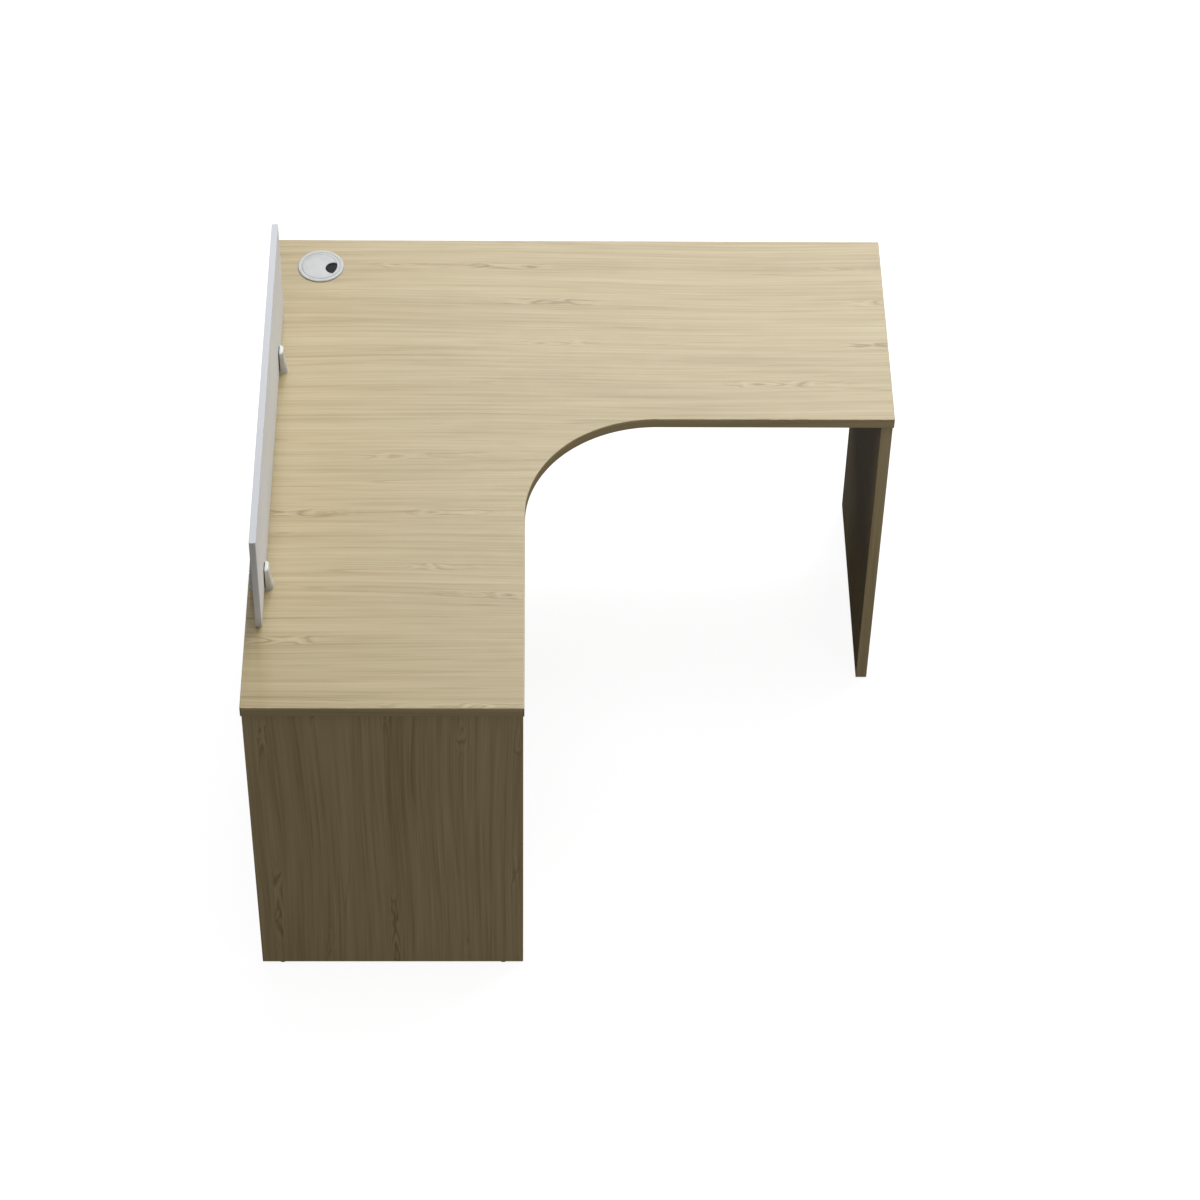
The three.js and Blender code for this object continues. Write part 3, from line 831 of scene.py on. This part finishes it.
def build_brackets():
    for side in ("near", "far"):
        name = "bracket_" + side
        bracket_body(name + "_body", name + "_clamp_screw")
        form = box_form(*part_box(name + "_liner"))
        round_edges(form, form.edges[:], LINER_ARRIS, 2)
        mesh = finish_mesh(form, name + "_rubber")
        add_piece(name + "_rubber", mesh, RUBBER, replaced=[name + "_liner"])
        keep_node(name + "_clamp_pad", DARK_PLASTIC)
        keep_node(name + "_clamp_screw", ZINC)
        keep_node(name + "_base_screw_front", ZINC)
        keep_node(name + "_base_screw_back", ZINC)


# ---------------------------------------------------------------------------------------------
# The cable grommet
# ---------------------------------------------------------------------------------------------

TUBE_RADIUS = 39.6 * MM
TUBE_DEPTH = 18 * MM
FLANGE_RADIUS = 45 * MM
FLANGE_HEIGHT = 2.6 * MM
FLANGE_ROUND = 1.6 * MM
LEDGE_RADIUS = 35.5 * MM     # the cover rests on a ledge in the liner
LEDGE_TOP = 0.1 * MM
LEDGE_THICKNESS = 2 * MM

COVER_BASE = 0.2 * MM        # the cover's underside, above the top of the desk
COVER_RADIUS = 37.2 * MM
COVER_THICKNESS = 2.4 * MM
COVER_DISH = 0.5 * MM        # depth of the flat middle below the cover's rim
DISH_OUTSIDE = 4.4 * MM      # from the cover's edge to where the dish begins
DISH_INSIDE = 5.2 * MM       # and to where it is at its full depth
COVER_EDGE_ROUND = 0.7 * MM
OPENING_EDGE_ROUND = 0.6 * MM

OPENING_EDGE = 33 * MM       # the opening is what a disc of this radius shares with the notch
OPENING_CENTRE = 25.6 * MM
OPENING_RADIUS = 15.6 * MM
OPENING_ANGLE = math.radians(-13.5)
OPENING_EYE = 21 * MM        # a place in the opening from which all of its edge can be seen

# The pin that the flap turns on: (radius, height) in millimetres, from the cover's underside.
COVER_PIN = ((0, -5.2), (4.2, -5.2), (5.0, -4.6), (5.2, -4.0), (3.6, -3.4), (3.6, 0.5), (0, 0.5))


def grommet_liner(place):
    """A tube with a flange above the top, and a ledge inside for the cover."""
    inside = COVER_RADIUS + LOOSE_FIT
    inner_round = 0.6 * MM
    ledge_bottom = LEDGE_TOP - LEDGE_THICKNESS
    edge = (FLANGE_RADIUS - FLANGE_ROUND, FLANGE_HEIGHT - FLANGE_ROUND)
    rim = (inside + inner_round, FLANGE_HEIGHT - inner_round)
    profile = [(inside, -TUBE_DEPTH), (TUBE_RADIUS, -TUBE_DEPTH), (TUBE_RADIUS, 0)]
    profile += [(FLANGE_RADIUS - 0.3 * MM, 0), (FLANGE_RADIUS, 0.4 * MM)]
    profile += arc_points(edge, FLANGE_ROUND, 0, 90, 6)
    profile += arc_points(rim, inner_round, 90, 180, 4)
    profile += [(inside, LEDGE_TOP), (LEDGE_RADIUS, LEDGE_TOP), (LEDGE_RADIUS, ledge_bottom)]
    profile += [(inside, ledge_bottom - LEDGE_THICKNESS), (inside, -TUBE_DEPTH)]
    mesh = moved(finish_mesh(lathe_form(profile, 96), "grommet_ring"), place)
    add_piece("grommet_ring", mesh, WHITE_PLASTIC, replaced=["grommet_liner"])


def distance_to_circle(origin, direction, centre, radius):
    """How far along a ray from inside a circle its edge lies."""
    offset = (origin[0] - centre[0], origin[1] - centre[1])
    along = offset[0] * direction[0] + offset[1] * direction[1]
    inside = radius ** 2 - offset[0] ** 2 - offset[1] ** 2
    return -along + math.sqrt(along ** 2 + inside)


def cover_rows():
    """The cover's section as rows of (which edge, distance from that edge, height), up the opening's
    wall, over the dish and down the outer edge."""
    top = COVER_THICKNESS
    dish = top - COVER_DISH
    small, large = OPENING_EDGE_ROUND, COVER_EDGE_ROUND
    arc = [(math.sin(angle), math.cos(angle)) for angle in quarter_turn(4)]
    rows = [("opening", 0, 0.0)]
    rows += [("opening", small * (1 - cosine), dish - small * (1 - sine)) for sine, cosine in arc]
    rows += [("rim", DISH_INSIDE, dish), ("rim", DISH_OUTSIDE, top)]
    rows += [("rim", large * (1 - sine), top - large * (1 - cosine)) for sine, cosine in arc]
    rows += [("rim", 0, 0.0)]
    return rows


def grommet_cover(place):
    """A disc with a notch-shaped opening. Each ring runs round a place in the opening."""
    across, along = math.cos(OPENING_ANGLE), math.sin(OPENING_ANGLE)
    eye = (OPENING_EYE * across, OPENING_EYE * along)
    notch = (OPENING_CENTRE * across, OPENING_CENTRE * along)
    count = 128
    rays = [(math.cos(angle), math.sin(angle))
            for angle in (2 * math.pi * step / count for step in range(count))]
    form = bmesh.new()
    rings = []
    for edge, inset, z in cover_rows():
        ring = []
        for ray in rays:
            if edge == "opening":
                reach = inset + min(
                    distance_to_circle(eye, ray, (0, 0), OPENING_EDGE),
                    distance_to_circle(eye, ray, notch, OPENING_RADIUS),
                )
            else:
                reach = distance_to_circle(eye, ray, (0, 0), COVER_RADIUS - inset)
            ring.append(form.verts.new((eye[0] + ray[0] * reach, eye[1] + ray[1] * reach, z)))
        rings.append(ring)
    rings.append(rings[0])
    bridge_rings(form, rings)
    plate = loose_piece("cover_plate", finish_mesh(form, "cover_plate"))
    pin = lathe_form([(radius * MM, height * MM) for radius, height in COVER_PIN], 40)
    boolean(plate, "UNION", finish_mesh(pin, "cover_pin"))
    mesh = moved(take_mesh(plate, 32), place)
    add_piece("grommet_lid", mesh, WHITE_PLASTIC, "grommet_cover", ["grommet_cover"])


def build_grommet():
    low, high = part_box("grommet_liner")
    middle = (low + high) / 2
    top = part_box("desktop")[1].z
    grommet_liner((middle.x, middle.y, top))
    grommet_cover((middle.x, middle.y, top + COVER_BASE))
    keep_node("grommet_flap", DARK_PLASTIC)


# ---------------------------------------------------------------------------------------------
# Hardware: feet, angle irons, screws
# ---------------------------------------------------------------------------------------------

FOOT_COUNT = 6
GLIDE_FOOT_ROUND = 0.8 * MM
GLIDE_FOOT_INSET = 0.4 * MM
GLIDE_TOP_ROUND = 1.0 * MM
STEM_SEAT = 4.15 * MM        # radius of the hollow in the glide that takes the stem
STEM_SEAT_DEPTH = 2 * MM

IRON_COUNT = 8
IRON_LEG = 30 * MM
IRON_SHEET = 2 * MM
IRON_HOLE_SHARE = 0.66       # of a leg's length, from the bend to its hole
HEAD_RADIUS = 3.6 * MM
HEAD_SIDE = 0.7 * MM
HEAD_CROWN = 2.1 * MM
RECESS_REACH = 1.9 * MM
RECESS_HALF_WIDTH = 0.45 * MM
RECESS_BOTTOM = 0.8 * MM


def glide_profile(radius, height):
    sole = (radius - GLIDE_FOOT_ROUND, GLIDE_FOOT_ROUND)
    shoulder = (radius - GLIDE_TOP_ROUND, height - GLIDE_TOP_ROUND)
    profile = [(0, 0.0), (sole[0] - GLIDE_FOOT_INSET, 0.0)]
    profile += arc_points(sole, GLIDE_FOOT_ROUND, -90, 0, 4)
    profile += arc_points(shoulder, GLIDE_TOP_ROUND, 0, 90, 5)
    profile += [(STEM_SEAT, height), (STEM_SEAT, height - STEM_SEAT_DEPTH)]
    profile += [(0, height - STEM_SEAT_DEPTH)]
    return profile


def build_feet():
    for name in (f"foot_{number}" for number in range(1, FOOT_COUNT + 1)):
        low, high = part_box(name + "_pad")
        profile = glide_profile((high.x - low.x) / 2, high.z - low.z)
        place = ((low.x + high.x) / 2, (low.y + high.y) / 2, low.z)
        mesh = moved(finish_mesh(lathe_form(profile, 48), name + "_glide"), place)
        add_piece(name + "_glide", mesh, DARK_PLASTIC, name, [name + "_pad"])
        keep_node(name + "_stem", ZINC)
        keep_node(name + "_insert", ZINC)


def pan_head_mesh():
    """A pan-head screw's head with a cross recess, its seat at z = 0 and its crown at +z."""
    crown_angles = [math.radians(18 * step) for step in range(1, 5)]
    profile = [(0, 0.0), (HEAD_RADIUS, 0.0), (HEAD_RADIUS, HEAD_SIDE)]
    profile += [(HEAD_RADIUS * math.cos(a), HEAD_SIDE + (HEAD_CROWN - HEAD_SIDE) * math.sin(a))
                for a in crown_angles]
    profile += [(0, HEAD_CROWN)]
    head = loose_piece("pan_head", finish_mesh(lathe_form(profile, 36), "pan_head"))
    for x, y in ((RECESS_REACH, RECESS_HALF_WIDTH), (RECESS_HALF_WIDTH, RECESS_REACH)):
        arm = box_form((-x, -y, RECESS_BOTTOM), (x, y, HEAD_CROWN + MM))
        boolean(head, "DIFFERENCE", finish_mesh(arm, "recess"))
    return take_mesh(head, 30)


def iron_screw_places(iron):
    """Where an angle iron's two screws sit and which way their heads face, by label."""
    low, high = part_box(iron)
    middle = (low + high) / 2
    corners = NODES[iron].data.vertices
    centre = sum((corner.co for corner in corners), Vector()) / len(corners)
    axis = X if high.x - low.x > high.y - low.y else Y
    direction = 1 if centre[axis] < middle[axis] else -1
    wall = low[axis] if direction > 0 else high[axis]
    reach = IRON_HOLE_SHARE * IRON_LEG
    upper = middle.copy()
    upper[axis] = wall + direction * reach
    upper.z = high.z - IRON_SHEET
    lower = middle.copy()
    lower[axis] = wall + direction * IRON_SHEET
    lower.z = high.z - reach
    sideways = Vector((0, 0, 0))
    sideways[axis] = direction
    return (("upper", upper, Vector((0, 0, -1))), ("lower", lower, sideways))


def build_irons():
    """Each angle iron is held by one screw up into the top and one sideways into its panel."""
    head = pan_head_mesh()
    for number in range(1, IRON_COUNT + 1):
        iron = f"angle_iron_{number}"
        keep_node(iron, ZINC)
        for label, place, facing in iron_screw_places(iron):
            turn = facing.to_track_quat("Z", "X").to_matrix().to_4x4()
            mesh = head.copy()
            mesh.transform(Matrix.Translation(place) @ turn)
            add_piece(f"iron_screw_{number}_{label}", mesh, ZINC)
    bpy.data.meshes.remove(head)


add_camera()
add_lights()
set_world()
add_floor()
build_top()
build_panels()
build_screen()
build_brackets()
build_grommet()
build_feet()
build_irons()
